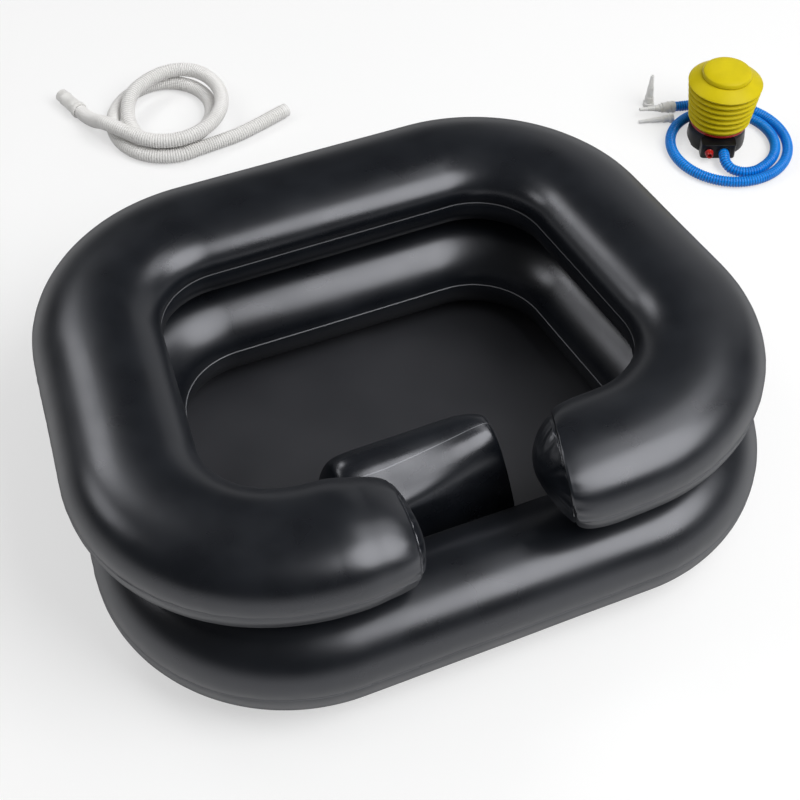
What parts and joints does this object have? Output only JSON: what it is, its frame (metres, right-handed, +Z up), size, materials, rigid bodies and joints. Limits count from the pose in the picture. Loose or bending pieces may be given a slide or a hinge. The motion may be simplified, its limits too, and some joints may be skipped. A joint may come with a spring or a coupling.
{
  "type": "portable shampoo basin",
  "caption": "Inflatable hair-washing basin: stacked air tubes on a floor sheet with a neck opening and pillow, with its ribbed drain hose and bellows foot pump.",
  "frame": {"origin": "underside of the floor sheet, on the centre line between the basin's sides, 0.257 m behind the lower ring's front", "axes": "+Z up, -Y towards the neck side, +X to the right as seen from the neck side"},
  "size_m": [0.9451, 0.9324, 0.183],
  "materials": {
    "black_film": "glossy soft vinyl film, slightly puckered at its welds",
    "clear_vinyl": "milky soft vinyl",
    "black_rubber": "matte soft rubber",
    "white_plastic": "satin off-white",
    "yellow_plastic": "satin, blow-moulded",
    "black_plastic": "moulded, slightly glossy",
    "red_plastic": "moulded, slightly glossy",
    "blue_plastic": "glossy ribbed tube"
  },
  "bodies": {
    "basin": {"basin_floor": "black_film", "lower_ring_chamber": "black_film", "upper_ring_chamber": "black_film", "upper_left_end_cap": "black_film", "upper_right_end_cap": "black_film", "neck_pillow": "black_film", "upper_valve_body": "clear_vinyl", "lower_valve_body": "clear_vinyl", "pillow_valve_body": "clear_vinyl", "drain_ring": "clear_vinyl"},
    "upper_plug": {"upper_valve_plug": "clear_vinyl"},
    "lower_plug": {"lower_valve_plug": "clear_vinyl"},
    "pillow_plug": {"pillow_valve_plug": "clear_vinyl"},
    "upper_flap": {"upper_valve_flap": "black_rubber"},
    "lower_flap": {"lower_valve_flap": "black_rubber"},
    "pillow_flap": {"pillow_valve_flap": "black_rubber"},
    "stopper": {"drain_stopper": "black_rubber"},
    "hose": {"drain_hose": "white_plastic", "drain_hose_collar": "white_plastic"},
    "cuff": {"drain_hose_cuff": "white_plastic"},
    "pump": {"pump_base": "black_plastic", "pump_valve_plate": "red_plastic", "pump_intake_port": "red_plastic", "pump_bellows": "yellow_plastic", "pump_hose": "blue_plastic", "pump_hose_connector": "white_plastic"},
    "tread": {"pump_tread": "yellow_plastic"},
    "inlet_flap": {"pump_inlet_flap": "black_rubber"},
    "outlet_flap": {"pump_outlet_flap": "black_rubber"},
    "small_nozzle": {"nozzle_small": "white_plastic"},
    "medium_nozzle": {"nozzle_medium": "white_plastic"},
    "large_nozzle": {"nozzle_large": "white_plastic"}
  },
  "joints": [
    {"name": "upper_plug_pull", "type": "slide", "parent": "basin", "child": "upper_plug", "axis": [0, 1, 0], "range_m": [0, 0.015]},
    {"name": "lower_plug_pull", "type": "slide", "parent": "basin", "child": "lower_plug", "axis": [0, 1, 0], "range_m": [0, 0.015]},
    {"name": "pillow_plug_pull", "type": "slide", "parent": "basin", "child": "pillow_plug", "axis": [0, 1, 0], "range_m": [0, 0.015]},
    {"name": "upper_flap_open", "type": "hinge", "parent": "basin", "child": "upper_flap", "pos_m": [-0.1, 0.2704, 0.1455], "axis": [-1, 0, 0], "range_deg": [0, 35], "stiffness_Nm_per_rad": 0.0005},
    {"name": "lower_flap_open", "type": "hinge", "parent": "basin", "child": "lower_flap", "pos_m": [0.09, 0.2474, 0.0543], "axis": [-1, 0, 0], "range_deg": [0, 35], "stiffness_Nm_per_rad": 0.0005},
    {"name": "pillow_flap_open", "type": "hinge", "parent": "basin", "child": "pillow_flap", "pos_m": [-0.0315, -0.065, 0.0496], "axis": [-1, 0, 0], "range_deg": [0, 35], "stiffness_Nm_per_rad": 0.0005},
    {"name": "stopper_pull", "type": "slide", "parent": "basin", "child": "stopper", "axis": [0, 0, 1], "range_m": [0, 0.03]},
    {"name": "hose_lift", "type": "slide", "parent": "basin", "child": "hose", "axis": [0, 0, 1], "range_m": [0, 0.1]},
    {"name": "cuff_pull", "type": "slide", "parent": "hose", "child": "cuff", "axis": [-0.3172, 0.948, 0.026], "range_m": [0, 0.02]},
    {"name": "pump_lift", "type": "slide", "parent": "basin", "child": "pump", "axis": [0, 0, 1], "range_m": [0, 0.1]},
    {"name": "tread_press", "type": "slide", "parent": "pump", "child": "tread", "axis": [0, 0, -1], "range_m": [0, 0.04], "stiffness_N_per_m": 600, "springref_m": -0.003, "deforming": ["pump_bellows"]},
    {"name": "inlet_flap_open", "type": "hinge", "parent": "pump", "child": "inlet_flap", "pos_m": [0.52861, 0.3187, 0.028], "axis": [-0.9198, 0.3923, 0], "range_deg": [0, 35], "stiffness_Nm_per_rad": 0.0005},
    {"name": "outlet_flap_open", "type": "hinge", "parent": "pump", "child": "outlet_flap", "pos_m": [0.5539, 0.30791, 0.0244], "axis": [0.9198, -0.3923, 0], "range_deg": [0, 35], "stiffness_Nm_per_rad": 0.0005},
    {"name": "small_nozzle_pull", "type": "slide", "parent": "pump", "child": "small_nozzle", "axis": [-0.9823, 0.1693, 0.08], "range_m": [0, 0.02]},
    {"name": "medium_nozzle_lift", "type": "slide", "parent": "basin", "child": "medium_nozzle", "axis": [0, 0, 1], "range_m": [0, 0.1]},
    {"name": "large_nozzle_lift", "type": "slide", "parent": "basin", "child": "large_nozzle", "axis": [0, 0, 1], "range_m": [0, 0.1]}
  ]
}
